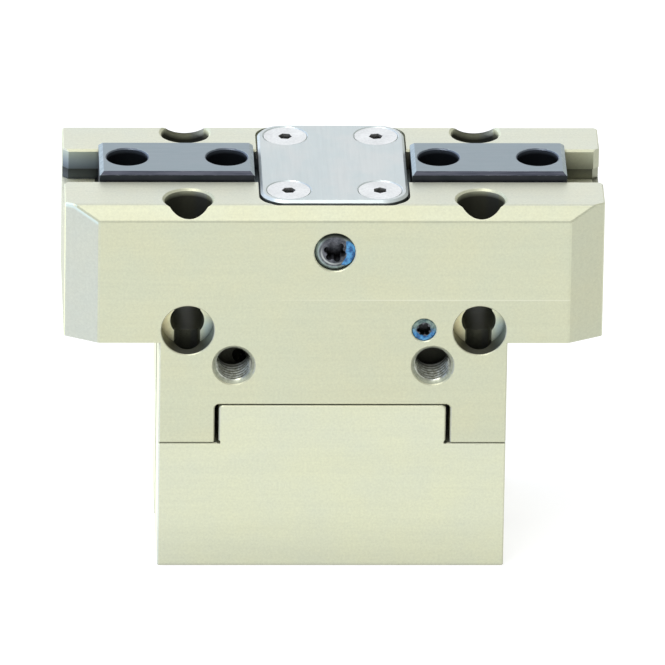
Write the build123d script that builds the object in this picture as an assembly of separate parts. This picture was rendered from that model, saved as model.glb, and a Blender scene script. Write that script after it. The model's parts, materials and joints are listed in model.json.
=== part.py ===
"""Two-finger parallel gripper, pneumatic, with a spring that keeps it closed.

Frame: millimetres, +Z up, +X along the jaws' travel, the air ports face -Y.
The origin is the centre of the bottom mounting face. The jaws are closed.

How it works: a stadium-shaped piston slides up and down in the housing. Its rod carries a wedge
driver, whose two sloping flanks hold T-slots. A T-rail on each base jaw runs in its slot, so the
piston's stroke opens both jaws by the same amount. A draw bolt hangs from the piston into the
spring housing below, where a compression spring pulls the piston down and the jaws shut.
"""
import os
from math import atan, cos, pi, sin, tan

from build123d import *

# ---- Housing envelope -------------------------------------------------------------------------
HEAD_LENGTH = 65.0          # X, over the jaw guide
DEPTH = 26.0                # Y, the whole gripper
BODY_WIDTH = 42.0           # X, below the head
SEAM = 16.4                 # Z, shoulder where the housing stands on the spring housing
TONGUE_TOP = 21.5           # Z, top of the recess that locates the spring housing
HEAD_BOTTOM = 29.7          # Z, underside of the head's two overhangs
TOP = 47.3                  # Z, top face of the housing
TOP_BEVEL = 1.6             # 45 degree bevel along the head's two long top edges
FRONT_CUT = (4.15, 2.15)    # X and Y legs of the head's two front corner cuts
BACK_CUT = (4.15, 1.8)      # the same for the back
EDGE_BREAK = 0.15           # deburred outer edges
HOLE_EDGE = 0.1             # deburred hole mouths in the front and back faces
CLEAR = 0.1                 # sliding clearance between moving parts

# ---- Spring housing ---------------------------------------------------------------------------
RECESS_HALF = 14.25         # half width of the recess across the housing's foot
TONGUE_HALF = 13.7          # half width of the tongue that stands in it
RECESS_CORNER = 0.55        # radius of the recess's two upper corners
TONGUE_CORNER = 0.5         # radius of the tongue's two top corners
TONGUE_RELIEF = 0.22        # radius of the relief at the tongue's two feet
SEAM_GAP = 0.15             # daylight above the tongue
SPRING_ROOM_RADIUS = 9.6
SPRING_CEILING = 18.5       # Z, where the spring's upper end stands
LID_SHOULDER = 3.6          # Z, stop for the bottom lid
LID_BORE_RADIUS = 10.6
LID_LOW = 1.4               # Z, underside of the lid
RING_SLOT = (0.7, 1.35)     # Z range of the retaining ring's groove
RING_SLOT_RADIUS = 11.3

# ---- Jaw guide and jaws -----------------------------------------------------------------------
GUIDE_NECK_HALF = 4.65      # half width of the slot at the top face
GUIDE_FLANGE_HALF = 6.1     # half width of the undercut
GUIDE_NECK_LOW = TOP - 2.5  # Z, underside of the lips
GUIDE_FLOOR = TOP - 4.5     # Z, floor of the undercut
GUIDE_LIP_BEVEL = 0.25      # along the slot's two upper edges
GUIDE_LEAD_IN = 0.7         # at the slot's ends
STROKE = 4.0                # travel of each jaw
JAW_INNER = 9.5             # X, inner end of a closed jaw's top bar
JAW_OUTER = 28.2            # X, its outer end
JAW_TOP = TOP + 1.15        # Z
JAW_END_BEVEL = 0.5
JAW_SIDE_BEVEL = 0.39
FINGER_HOLES = (12.8, 24.8) # X of the two finger holes, jaw closed
SLEEVE_RADIUS = 2.5         # seat of a 5 mm centring sleeve
SLEEVE_DEPTH = 2.6
FINGER_THREAD_RADIUS = 1.25
FINGER_THREAD_LOW = 43.4    # Z, bottom of the finger screw's thread

# ---- Cylinder and wedge -----------------------------------------------------------------------
BORE_HALF = (12.0, 9.5)     # half length and half width of the stadium-shaped bore
BORE_TOP = 31.8             # Z
PISTON_STROKE = 5.0
PISTON_HEIGHT = 5.0
PISTON_LOW = TONGUE_TOP + 0.15
PISTON_TOP = PISTON_LOW + PISTON_HEIGHT
PISTON_GAP = 0.1
ROD_RADIUS = 4.0
ROD_SEAT = 0.6              # depth of the rod's seat in the piston
CAVITY_LOW = 34.4           # Z, floor of the wedge's room in the head
CAVITY_HALF = 18.3          # X, half length of that room
WEDGE_ANGLE = atan(STROKE / PISTON_STROKE)
WEDGE_LOW = CAVITY_LOW + 0.2
WEDGE_HEIGHT = 6.2
WEDGE_FOOT_HALF = 11.5      # X, half width of the driver at its foot
WEDGE_DEPTH_HALF = 6.0      # Y
RAIL_NECK_HALF = 2.2        # T-slot across the flank
RAIL_HEAD_HALF = 4.0
RAIL_NECK_DEPTH = 1.2
RAIL_HEAD_DEPTH = 2.6
RAIL_PLAY = 0.06
HOOK_LOW = 36.0             # Z range of the jaw's rail
HOOK_TOP = 44.4
HOOK_OUTER = 14.0           # X, outer side of the hook's web, jaw closed

# ---- Cover plate ------------------------------------------------------------------------------
PLATE_HALF = (8.9, 11.3)
PLATE_CORNER = 3.1
POCKET_CORNER = 2.5
PLATE_SEAT = TOP - 1.2
PLATE_THICKNESS = 1.6
PLATE_BEVEL = 0.3
POCKET_GAP = 0.2
PLATE_SCREWS = (5.5, 8.0)   # X and Y of the four countersunk screws
COUNTERSINK_RADIUS = 2.78
SCREW_HEAD_RADIUS = 2.6
SCREW_HEAD_SINK = 0.06
SCREW_SOCKET_TURNS = (4, -7, 30, 11)
M3 = 1.5
M25 = 1.25
M4 = 2.0
M5 = 2.5
THREAD_PLAY = 0.03

# ---- Mounting holes, ports and plugs ----------------------------------------------------------
MOUNT_X = 17.6
MOUNT_Y = 9.85
MOUNT_RADIUS = 1.6          # clearance for M3
HEAD_SINK_RADIUS = 2.92     # counterbore for the M3 head
HEAD_SINK_FLOOR = 36.0      # Z
HOLE_BREAK = 0.25
SIDE_HOLE_Z = 31.33
SIDE_HOLE_RADIUS = 2.05
SIDE_SINK_RADIUS = 3.2
SIDE_SINK_DEPTH = 3.0
PORT_X = 12.0
PORT_Z = 26.7
PORT_DEPTH = 6.0
PURGE_Z = 41.65
CHANNEL_X = 10.9
CHANNEL_Z = 31.4
COVER_SCREW = (17.6, 5.3)
COVER_SCREW_TOP = 24.5
COVER_SINK_RADIUS = 2.4
COVER_SINK_DEPTH = 2.9
PIN_HOLE = (13.0, 9.5)      # two locating pin holes, on one diagonal of the bottom face
PIN_RADIUS = 1.5
PIN_DEPTH = 4.0
SENSOR_RADIUS = 2.1         # round sensor groove in each side of the body
SENSOR_MOUTH_HALF = 1.5
SENSOR_SINK = 2.3           # from the side face to the groove's centre
SENSOR_TOP = 28.0


# ---- Small shape helpers ----------------------------------------------------------------------
def block(x, y, z):
    """A box between three (low, high) pairs."""
    ranges = (x, y, z)
    size = [high - low for low, high in ranges]
    centre = [(high + low) / 2 for low, high in ranges]
    return Pos(*centre) * Box(*size)


def post(radius, z, at=(0, 0)):
    """An upright cylinder between two heights."""
    return Pos(at[0], at[1], (z[0] + z[1]) / 2) * Cylinder(radius, z[1] - z[0])


def flare(low_radius, high_radius, z, at=(0, 0)):
    """An upright cone between two heights."""
    return Pos(at[0], at[1], (z[0] + z[1]) / 2) * Cone(low_radius, high_radius, z[1] - z[0])


def peg(radius, y, at):
    """A cylinder along Y between two depths, at an X and a Z."""
    return Pos(at[0], (y[0] + y[1]) / 2, at[1]) * Rot(90, 0, 0) * Cylinder(radius, y[1] - y[0])


def front_flare(front_radius, back_radius, y, at):
    """A cone along Y whose first radius is at the smaller Y."""
    turn = Pos(at[0], (y[0] + y[1]) / 2, at[1]) * Rot(90, 0, 0)
    return turn * Cone(back_radius, front_radius, y[1] - y[0])


def drilling(radius, start, end):
    """A straight hole from one point to another."""
    line = Line(start, end)
    return sweep(Plane(origin=start, z_dir=line % 0) * Circle(radius), path=line)


def stadium(half, z, grow=0.0):
    """An upright stadium: half is its half length and half width, grown all round."""
    outline = SlotOverall(2 * (half[0] + grow), 2 * (half[1] + grow))
    return Pos(0, 0, z[0]) * extrude(outline, z[1] - z[0])


def rounded_slab(half, corner, z):
    """A slab with rounded corners."""
    outline = RectangleRounded(2 * half[0], 2 * half[1], corner)
    return Pos(0, 0, z[0]) * extrude(outline, z[1] - z[0])


def lobed_socket(across, depth):
    """A six-lobed driver socket that sinks from Z 0."""
    lobes = [place * Circle(0.145 * across) for place in PolarLocations(0.355 * across, 6)]
    return extrude(Circle(0.37 * across) + lobes, -depth)


def corners(x, y):
    """The four places (+-x, +-y)."""
    return [(sx * x, sy * y) for sx in (-1, 1) for sy in (-1, 1)]


def flank_x(z):
    """X of the right-hand wedge flank at a height, jaws closed."""
    return WEDGE_FOOT_HALF - (z - WEDGE_LOW) * tan(WEDGE_ANGLE)


def wedge_rail(play, reach):
    """A T-section bar along the right-hand flank. Play thins it, and reach is how far its neck
    stands out of the flank."""
    up_flank = (-sin(WEDGE_ANGLE), 0, cos(WEDGE_ANGLE))
    out_of_flank = (cos(WEDGE_ANGLE), 0, sin(WEDGE_ANGLE))
    flank = Plane(origin=(WEDGE_FOOT_HALF, 0, WEDGE_LOW), x_dir=out_of_flank, z_dir=up_flank)
    shallow = RAIL_NECK_DEPTH + play
    deep = RAIL_HEAD_DEPTH - play
    neck = Pos((reach - shallow) / 2, 0) * Rectangle(reach + shallow, 2 * (RAIL_NECK_HALF - play))
    head = Pos(-(shallow + deep) / 2, 0) * Rectangle(deep - shallow, 2 * (RAIL_HEAD_HALF - play))
    return extrude(flank * (neck + head), 2 * DEPTH, both=True)


def sensor_grooves(z):
    """The round grooves for magnetic switches, cut from both sides of the body."""
    grooves = Part()
    for side in (-1, 1):
        centre = side * (BODY_WIDTH / 2 - SENSOR_SINK)
        grooves += post(SENSOR_RADIUS, z, (centre, 0))
        mouth = sorted((centre, side * (BODY_WIDTH / 2 + 1)))
        grooves += block(mouth, (-SENSOR_MOUTH_HALF, SENSOR_MOUTH_HALF), z)
    return grooves


# ---- Fixed parts ------------------------------------------------------------------------------
def housing_blank():
    """The T-shaped outside of the housing, before any hole."""
    half_depth = DEPTH / 2
    half_head = HEAD_LENGTH / 2
    end_view = Polyline(
        (-half_depth, HEAD_BOTTOM), (half_depth, HEAD_BOTTOM), (half_depth, TOP - TOP_BEVEL),
        (half_depth - TOP_BEVEL, TOP), (TOP_BEVEL - half_depth, TOP),
        (-half_depth, TOP - TOP_BEVEL), close=True)
    bar = extrude(Plane.YZ * make_face(end_view), half_head, both=True)
    right = []
    for y_sign, (cut_x, cut_y) in ((-1, FRONT_CUT), (1, BACK_CUT)):
        cut = [(half_head - cut_x, y_sign * half_depth), (half_head, y_sign * (half_depth - cut_y))]
        right += cut[::-y_sign]
    left = [(-x, y) for x, y in reversed(right)]
    plan = make_face(Polyline(*right, *left, close=True))
    head = bar & extrude(plan, TOP + 1)
    body = block((-BODY_WIDTH / 2, BODY_WIDTH / 2), (-half_depth, half_depth), (SEAM, HEAD_BOTTOM + 1))
    blank = head + body
    recess = block((-RECESS_HALF, RECESS_HALF), (-DEPTH, DEPTH), (SEAM - 1, TONGUE_TOP))
    blank -= fillet(recess.edges().filter_by(Axis.Y).group_by(Axis.Z)[-1], RECESS_CORNER)
    outside = [edge for edge in blank.edges() if abs(edge.center().Z - HEAD_BOTTOM) > 0.1]
    return chamfer(outside, EDGE_BREAK)


def housing_mounting_holes():
    """Screw holes from above and from the front and back, which cross in the body's corners."""
    holes = Part()
    for place in corners(MOUNT_X, MOUNT_Y):
        holes += post(MOUNT_RADIUS, (SEAM - 1, TOP), place)
        holes += post(HEAD_SINK_RADIUS, (HEAD_SINK_FLOOR, TOP + 1), place)
        mouth = (TOP - HOLE_BREAK, TOP + HOLE_BREAK)
        holes += flare(HEAD_SINK_RADIUS, HEAD_SINK_RADIUS + 2 * HOLE_BREAK, mouth, place)
    face = DEPTH / 2
    for x in (-MOUNT_X, MOUNT_X):
        at = (x, SIDE_HOLE_Z)
        holes += peg(SIDE_HOLE_RADIUS, (-face - 1, face + 1), at)
        holes += peg(SIDE_SINK_RADIUS, (-face - 1, SIDE_SINK_DEPTH - face), at)
        holes += peg(SIDE_SINK_RADIUS, (face - SIDE_SINK_DEPTH, face + 1), at)
        wide = SIDE_SINK_RADIUS + HOLE_EDGE
        holes += front_flare(wide, SIDE_SINK_RADIUS, (-face, HOLE_EDGE - face), at)
        holes += front_flare(SIDE_SINK_RADIUS, wide, (face - HOLE_EDGE, face), at)
    for place in corners(*COVER_SCREW):
        holes += post(M25, (SEAM - 1, COVER_SCREW_TOP), place)
    for place in corners(*PLATE_SCREWS):
        holes += post(M25, (PLATE_SEAT - 6.2, TOP), place)
    return holes


def housing_air_ways():
    """Ports, the purge air hole, and the drillings between the ports and the cylinder."""
    front = -DEPTH / 2
    ways = Part()
    for x in (-PORT_X, PORT_X):
        at = (x, PORT_Z)
        ways += peg(M5, (front - 1, front + PORT_DEPTH), at)
        ways += front_flare(M5 + 0.3, M5, (front - 0.15, front + 0.15), at)
    ways += peg(M5, (front - 1, -GUIDE_FLANGE_HALF + 0.5), (0, PURGE_Z))
    ways += front_flare(M5 + HOLE_EDGE, M5, (front, front + HOLE_EDGE), (0, PURGE_Z))
    ways += peg(M3, (front - 1, front + 3.6), (CHANNEL_X, CHANNEL_Z))
    ways += front_flare(M3 + HOLE_EDGE, M3, (front, front + HOLE_EDGE), (CHANNEL_X, CHANNEL_Z))
    ways += peg(1.0, (front, front + 9.5), (CHANNEL_X, CHANNEL_Z))
    ways += drilling(0.8, (PORT_X, front + 2, PORT_Z), (CHANNEL_X, front + 6.5, CHANNEL_Z))
    ways += drilling(0.8, (-PORT_X, front + 4, PORT_Z), (-9.6, front + 9.8, TONGUE_TOP + 0.9))
    return ways


def guide_mouth():
    """Bevels along the slot's two upper edges, and the lead-ins at its ends."""
    wide = GUIDE_NECK_HALF + GUIDE_LIP_BEVEL
    low = TOP - GUIDE_LIP_BEVEL
    vee = Polyline((-wide, TOP), (wide, TOP), (0, low - GUIDE_NECK_HALF), close=True)
    mouth = extrude(Plane.YZ * make_face(vee), HEAD_LENGTH, both=True)
    mouth &= block((-HEAD_LENGTH, HEAD_LENGTH), (-wide, wide), (low - 0.5, TOP))
    end = HEAD_LENGTH / 2
    inner = end - GUIDE_LEAD_IN
    levels = ((GUIDE_NECK_HALF, GUIDE_NECK_LOW, TOP), (GUIDE_FLANGE_HALF, GUIDE_FLOOR, GUIDE_NECK_LOW))
    for half, low, high in levels:
        wide = half + GUIDE_LEAD_IN
        lead_in = make_face(Polyline((inner, -half), (end, -wide), (end, wide), (inner, half), close=True))
        for turn in (0, 180):
            mouth += Pos(0, 0, low) * Rot(0, 0, turn) * extrude(lead_in, high - low)
    return mouth


def housing():
    """The one-piece body: jaw guide on top, wedge room, cylinder bore and foot."""
    body = housing_blank()
    end = HEAD_LENGTH / 2 + 1
    neck = (-GUIDE_NECK_HALF, GUIDE_NECK_HALF)
    flange = (-GUIDE_FLANGE_HALF, GUIDE_FLANGE_HALF)
    body -= block((-end, end), neck, (GUIDE_NECK_LOW - 0.1, TOP + 1))
    body -= block((-end, end), flange, (GUIDE_FLOOR, GUIDE_NECK_LOW))
    body -= block((-CAVITY_HALF, CAVITY_HALF), flange, (CAVITY_LOW, GUIDE_FLOOR + 0.1))
    body -= block((-PLATE_HALF[0] + 1, PLATE_HALF[0] - 1), flange, (GUIDE_FLOOR, TOP))
    body -= guide_mouth()
    pocket = (PLATE_HALF[0] + POCKET_GAP, PLATE_HALF[1] + POCKET_GAP)
    body -= rounded_slab(pocket, POCKET_CORNER, (PLATE_SEAT, TOP + 1))
    body -= stadium(BORE_HALF, (TONGUE_TOP - 1, BORE_TOP))
    body -= post(ROD_RADIUS + 0.06, (BORE_TOP - 1, CAVITY_LOW + 1))
    body -= post(5.2, (32.4, 33.8))
    body -= housing_mounting_holes()
    body -= housing_air_ways()
    body -= sensor_grooves((SEAM - 1, SENSOR_TOP))
    return body


def spring_housing():
    """The block under the housing, with a tongue that stands in the housing's recess."""
    half_depth = DEPTH / 2
    half_width = BODY_WIDTH / 2
    shell = block((-half_width, half_width), (-half_depth, half_depth), (0, SEAM))
    tongue = block((-TONGUE_HALF, TONGUE_HALF), (-half_depth, half_depth), (SEAM, TONGUE_TOP - SEAM_GAP))
    top_corners = tongue.edges().filter_by(Axis.Y).group_by(Axis.Z)[-1]
    shell += fillet(top_corners, TONGUE_CORNER)
    outline = [edge for edge in shell.edges() if abs(abs(edge.center().X) - TONGUE_HALF) > 0.8]
    shell = chamfer(outline, EDGE_BREAK)
    for side in (-1, 1):
        shell -= peg(TONGUE_RELIEF, (-DEPTH, DEPTH), (side * TONGUE_HALF, SEAM + 0.1))
    shell -= post(SPRING_ROOM_RADIUS, (LID_SHOULDER - 1, SPRING_CEILING))
    shell -= post(LID_BORE_RADIUS, (-1, LID_SHOULDER))
    shell -= post(RING_SLOT_RADIUS, RING_SLOT)
    shell -= post(ROD_RADIUS + 0.6, (SPRING_CEILING - 1, TONGUE_TOP + 1))
    seal_seat = (TONGUE_TOP - 0.8, TONGUE_TOP + 1)
    shell -= stadium(BORE_HALF, seal_seat, 1.25) - stadium(BORE_HALF, seal_seat, 0.35)
    for place in corners(MOUNT_X, MOUNT_Y):
        shell -= post(MOUNT_RADIUS, (-1, SEAM + 1), place)
    for place in corners(*COVER_SCREW):
        shell -= post(M25 + 0.1, (-1, SEAM + 1), place)
        shell -= post(COVER_SINK_RADIUS, (-1, COVER_SINK_DEPTH), place)
    for side in (-1, 1):
        shell -= post(PIN_RADIUS, (-1, PIN_DEPTH), (side * PIN_HOLE[0], -side * PIN_HOLE[1]))
    return shell - sensor_grooves((-1, SEAM + 1))


def cover_plate():
    """The plate that closes the wedge's room, with four countersunk holes."""
    top = PLATE_SEAT + PLATE_THICKNESS
    plate = rounded_slab(PLATE_HALF, PLATE_CORNER, (PLATE_SEAT, top))
    rim = plate.edges().group_by(Axis.Z)[-1]
    plate = chamfer(rim, PLATE_BEVEL)
    for place in corners(*PLATE_SCREWS):
        plate -= post(M25 + 0.15, (PLATE_SEAT - 1, top + 1), place)
        depth = COUNTERSINK_RADIUS - M25 - 0.15
        plate -= flare(M25 + 0.15, COUNTERSINK_RADIUS, (top - depth, top), place)
    return plate


def hexagon_socket(across_flats, depth, turn=0):
    """A hexagon driver socket that rises from Z 0 by its depth, or sinks if that is negative."""
    return extrude(Rot(0, 0, turn) * RegularPolygon(across_flats / 2 / cos(pi / 6), 6), depth)


def countersunk_screw(place, socket_turn):
    """One M2.5 countersunk screw with a hexagon socket."""
    top = PLATE_SEAT + PLATE_THICKNESS - SCREW_HEAD_SINK
    shank = M25 - THREAD_PLAY
    rim = 0.08
    cone_low = top - (SCREW_HEAD_RADIUS - shank) - rim
    screw = post(SCREW_HEAD_RADIUS, (top - rim, top), place)
    screw += flare(shank, SCREW_HEAD_RADIUS, (cone_low, top - rim), place)
    screw += post(shank, (PLATE_SEAT - 5.5, cone_low), place)
    return screw - Pos(place[0], place[1], top) * hexagon_socket(1.5, -0.95, socket_turn)


def cover_plate_screws():
    """The plate's four screws, each turned to where it came tight."""
    turns = zip(corners(*PLATE_SCREWS), SCREW_SOCKET_TURNS)
    return [countersunk_screw(place, turn) for place, turn in turns]


def spring_housing_screw(place):
    """One M2.5 socket head screw, put in from below."""
    head_low = 0.3
    head_top = COVER_SINK_DEPTH - 0.02
    screw = post(2.25, (head_low, head_top), place)
    screw = chamfer(screw.edges().group_by(Axis.Z)[0], 0.2)
    screw += post(M25 - THREAD_PLAY, (head_top - 0.1, COVER_SCREW_TOP - 0.8), place)
    return screw - Pos(place[0], place[1], head_low) * hexagon_socket(2.0, 1.2)


def set_screw(radius, y, at, socket, socket_depth, turn):
    """A headless screw plug along Y with a six-lobed socket in its front end, turned to a degree."""
    length = y[1] - y[0]
    plug = Cylinder(radius, length)
    plug = chamfer(plug.edges().filter_by(GeomType.CIRCLE), 0.15 * radius)
    plug -= Pos(0, 0, length / 2) * Rot(0, 0, turn) * lobed_socket(socket, socket_depth)
    return Pos(at[0], (y[0] + y[1]) / 2, at[1]) * Rot(90, 0, 0) * plug


def purge_air_plug():
    """M5 plug in the purge air hole."""
    front = -DEPTH / 2
    return set_screw(M5 - THREAD_PLAY, (front + 0.25, front + 5.4), (0, PURGE_Z), 2.75, 1.8, -14)


def channel_plug():
    """M3 plug that closes the drilling to the upper chamber."""
    front = -DEPTH / 2
    return set_screw(M3 - THREAD_PLAY, (front + 0.25, front + 3.4), (CHANNEL_X, CHANNEL_Z), 1.75, 1.1, 8)


def bottom_lid():
    """The disc that closes the spring housing, with its seal groove."""
    lid = post(LID_BORE_RADIUS - 0.08, (LID_LOW, LID_SHOULDER - 0.02))
    lid = chamfer(lid.edges().filter_by(GeomType.CIRCLE), 0.2)
    groove = (LID_LOW + 0.5, LID_LOW + 1.6)
    lid -= post(LID_BORE_RADIUS + 1, groove) - post(LID_BORE_RADIUS - 1.1, groove)
    for side in (-1, 1):
        lid -= post(0.8, (LID_LOW - 1, LID_LOW + 0.9), (side * 5, 0))
    return lid


def lid_seal():
    """O-ring in the lid's groove."""
    return Pos(0, 0, LID_LOW + 1.05) * Torus(LID_BORE_RADIUS - 0.56, 0.5)


def retaining_ring():
    """Internal retaining ring under the lid, with two plier eyes."""
    low, high = RING_SLOT[0] + 0.03, RING_SLOT[1] - 0.03
    ring = post(RING_SLOT_RADIUS - 0.1, (low, high)) - post(LID_BORE_RADIUS - 0.9, (low - 1, high + 1))
    ring -= block((0, 2 * LID_BORE_RADIUS), (-1.6, 1.6), (low - 1, high + 1))
    for side in (-1, 1):
        eye = (8.9, side * 2.9)
        ring += post(1.25, (low, high), eye)
        ring -= post(0.55, (low - 1, high + 1), eye)
    return ring


def rod_seal():
    """O-ring round the rod, in the web between the cylinder and the wedge's room."""
    return Pos(0, 0, 33.1) * Torus(4.61, 0.57)


def spring_housing_seal():
    """Flat stadium-shaped seal between the spring housing and the housing."""
    height = (TONGUE_TOP - 0.78, TONGUE_TOP - 0.02)
    return stadium(BORE_HALF, height, 1.22) - stadium(BORE_HALF, height, 0.38)


def closing_spring():
    """Compression spring with closed ends, jaws closed: it stands between the spring plate's rim
    and the spring housing's ceiling."""
    wire = 0.75
    low = 5.3 + wire + 0.05
    high = SPRING_CEILING - wire - 0.05
    coil = Helix(pitch=(high - low) / 4.5, height=high - low, radius=7.6)
    start = Plane(origin=coil @ 0, z_dir=coil % 0)
    return Pos(0, 0, low) * sweep(start * Circle(wire), path=coil, is_frenet=True)


# ---- Piston group -----------------------------------------------------------------------------
def piston():
    """The stadium-shaped piston, with a groove for its seal and pockets for two magnets."""
    body = stadium(BORE_HALF, (PISTON_LOW, PISTON_TOP), -PISTON_GAP)
    body = chamfer(body.edges().group_by(Axis.Z)[-1] + body.edges().group_by(Axis.Z)[0], 0.3)
    groove = (PISTON_LOW + 1.85, PISTON_LOW + 3.45)
    body -= stadium(BORE_HALF, groove, 1.0) - stadium(BORE_HALF, groove, -1.8)
    body -= post(M4 + 0.1, (PISTON_LOW - 1, PISTON_TOP + 1))
    body -= post(ROD_RADIUS + 0.03, (PISTON_TOP - ROD_SEAT, PISTON_TOP + 1))
    for side in (-1, 1):
        body -= post(1.5, (PISTON_LOW - 1, PISTON_LOW + 1.6), (side * 8.2, 0))
    return body


def piston_seal():
    """Lip seal in the piston's groove."""
    height = (PISTON_LOW + 1.9, PISTON_LOW + 3.4)
    ring = stadium(BORE_HALF, height, -0.03) - stadium(BORE_HALF, height, -1.77)
    vee = (PISTON_LOW + 2.35, PISTON_LOW + 2.95)
    return ring - (stadium(BORE_HALF, vee, 1.0) - stadium(BORE_HALF, vee, -0.5))


def piston_magnets():
    """Two disc magnets for the position switches."""
    return [post(1.47, (PISTON_LOW + 0.1, PISTON_LOW + 1.58), (side * 8.2, 0)) for side in (-1, 1)]


def wedge_driver():
    """Rod and wedge in one piece. T-slots in the two flanks drive the jaws."""
    top = WEDGE_LOW + WEDGE_HEIGHT
    outline = Polyline(
        (-flank_x(WEDGE_LOW), WEDGE_LOW), (flank_x(WEDGE_LOW), WEDGE_LOW),
        (flank_x(top), top), (-flank_x(top), top), close=True)
    wedge = extrude(Plane.XZ * make_face(outline), WEDGE_DEPTH_HALF, both=True)
    slot = wedge_rail(0.0, 2.0)
    wedge -= slot
    wedge -= mirror(slot, about=Plane.YZ)
    wedge += post(ROD_RADIUS, (PISTON_TOP - ROD_SEAT + 0.02, WEDGE_LOW + 0.5))
    return wedge - post(M4, (PISTON_TOP - 2, WEDGE_LOW + 2.0))


def spacer_sleeve():
    """Tube that carries the spring plate's pull up to the piston."""
    height = (6.72, PISTON_LOW - 0.02)
    return post(ROD_RADIUS, height) - post(M4 + 0.15, (height[0] - 1, height[1] + 1))


def spring_plate():
    """Stepped disc under the spring, with a seat for the draw bolt's head."""
    plate = post(9.2, (3.9, 5.3)) + post(5.0, (3.9, 6.7))
    plate -= post(M4 + 0.15, (3, 8))
    return plate - post(3.7, (3, 5.6))


def draw_bolt():
    """Low-head M4 bolt that clamps the spring plate, sleeve and piston to the rod."""
    head = post(3.5, (3.95, 5.58))
    head = chamfer(head.edges().group_by(Axis.Z)[0], 0.25)
    bolt = head + post(M4 - THREAD_PLAY, (5.5, WEDGE_LOW + 1.5))
    return bolt - Pos(0, 0, 3.95) * hexagon_socket(3.0, 1.1)


# ---- Jaws -------------------------------------------------------------------------------------
def jaw_bar():
    """The bar that stands out of the guide and takes the finger, bevelled round its top."""
    bar = block((JAW_INNER, JAW_OUTER), (CLEAR - GUIDE_NECK_HALF, GUIDE_NECK_HALF - CLEAR),
                (GUIDE_NECK_LOW - CLEAR, JAW_TOP))
    top_edges = bar.edges().group_by(Axis.Z)[-1]
    long_edges = top_edges.filter_by(Axis.X)
    bar = chamfer(long_edges, JAW_SIDE_BEVEL)
    end_edges = bar.edges().filter_by(Axis.Y).group_by(Axis.Z)[-1]
    return chamfer(end_edges, JAW_END_BEVEL)


def base_jaw():
    """The right-hand base jaw: top bar, guide flange, and the hook whose T-rail runs in the wedge."""
    flange_low = GUIDE_FLOOR + CLEAR / 2
    flange_top = GUIDE_NECK_LOW - CLEAR
    gap = RAIL_PLAY / cos(WEDGE_ANGLE)
    side_view = Polyline(
        (flank_x(HOOK_LOW) + gap, HOOK_LOW), (HOOK_OUTER, HOOK_LOW), (HOOK_OUTER, flange_low),
        (JAW_OUTER, flange_low), (JAW_OUTER, flange_top), (flank_x(flange_top) + gap, flange_top),
        close=True)
    half = GUIDE_FLANGE_HALF - CLEAR
    jaw = extrude(Plane.XZ * make_face(side_view), half, both=True)
    rail_room = block((0, HOOK_OUTER), (-DEPTH, DEPTH), (HOOK_LOW, HOOK_TOP))
    jaw += wedge_rail(RAIL_PLAY, 1.0) & rail_room
    jaw += jaw_bar()
    for x in FINGER_HOLES:
        jaw -= post(SLEEVE_RADIUS, (JAW_TOP - SLEEVE_DEPTH, JAW_TOP + 1), (x, 0))
        jaw -= flare(SLEEVE_RADIUS, SLEEVE_RADIUS + 0.3, (JAW_TOP - 0.15, JAW_TOP + 0.15), (x, 0))
        jaw -= post(FINGER_THREAD_RADIUS, (FINGER_THREAD_LOW, JAW_TOP), (x, 0))
    return jaw


def solids(shape):
    """A part, or a list of parts, as one compound of separate solids."""
    parts = shape if isinstance(shape, list) else [shape]
    found = [solid for part in parts for solid in part.solids()]
    return found[0] if len(found) == 1 else Compound(children=found)


NODES = {
    "housing": housing,
    "spring_housing": spring_housing,
    "cover_plate": cover_plate,
    "cover_plate_screws": cover_plate_screws,
    "spring_housing_screws": lambda: [spring_housing_screw(place) for place in corners(*COVER_SCREW)],
    "purge_air_plug": purge_air_plug,
    "channel_plug": channel_plug,
    "bottom_lid": bottom_lid,
    "lid_seal": lid_seal,
    "retaining_ring": retaining_ring,
    "rod_seal": rod_seal,
    "spring_housing_seal": spring_housing_seal,
    "closing_spring": closing_spring,
    "piston": piston,
    "piston_seal": piston_seal,
    "piston_magnets": piston_magnets,
    "wedge_driver": wedge_driver,
    "spacer_sleeve": spacer_sleeve,
    "spring_plate": spring_plate,
    "draw_bolt": draw_bolt,
    "base_jaw_right": base_jaw,
    "base_jaw_left": lambda: mirror(base_jaw(), about=Plane.YZ),
}

os.makedirs("parts", exist_ok=True)
for name, make in NODES.items():
    export_step(solids(make()), f"parts/{name}.step")
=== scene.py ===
"""Looks for the pneumatic parallel gripper: materials, port threads, threadlocker, camera and light."""
import json
from math import cos, pi, sin

import bmesh
import bpy
from mathutils import Matrix, Vector


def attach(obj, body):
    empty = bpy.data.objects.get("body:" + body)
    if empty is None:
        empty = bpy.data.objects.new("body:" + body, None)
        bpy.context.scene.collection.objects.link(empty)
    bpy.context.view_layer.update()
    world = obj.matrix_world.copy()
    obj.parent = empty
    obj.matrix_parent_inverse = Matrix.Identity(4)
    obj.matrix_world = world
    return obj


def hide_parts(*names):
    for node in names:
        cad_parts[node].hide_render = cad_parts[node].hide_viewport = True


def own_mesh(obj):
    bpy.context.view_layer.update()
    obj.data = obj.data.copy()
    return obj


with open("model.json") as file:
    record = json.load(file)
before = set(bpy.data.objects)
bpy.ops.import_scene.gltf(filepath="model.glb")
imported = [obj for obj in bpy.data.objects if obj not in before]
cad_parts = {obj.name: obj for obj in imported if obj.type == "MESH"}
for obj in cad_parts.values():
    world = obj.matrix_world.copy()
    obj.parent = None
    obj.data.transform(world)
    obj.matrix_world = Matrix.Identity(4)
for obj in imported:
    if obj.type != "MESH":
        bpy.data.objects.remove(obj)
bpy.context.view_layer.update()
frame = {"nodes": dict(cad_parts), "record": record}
MM = 0.001
WHITE = (1.0, 1.0, 1.0, 1.0)
scene = bpy.context.scene

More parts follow.
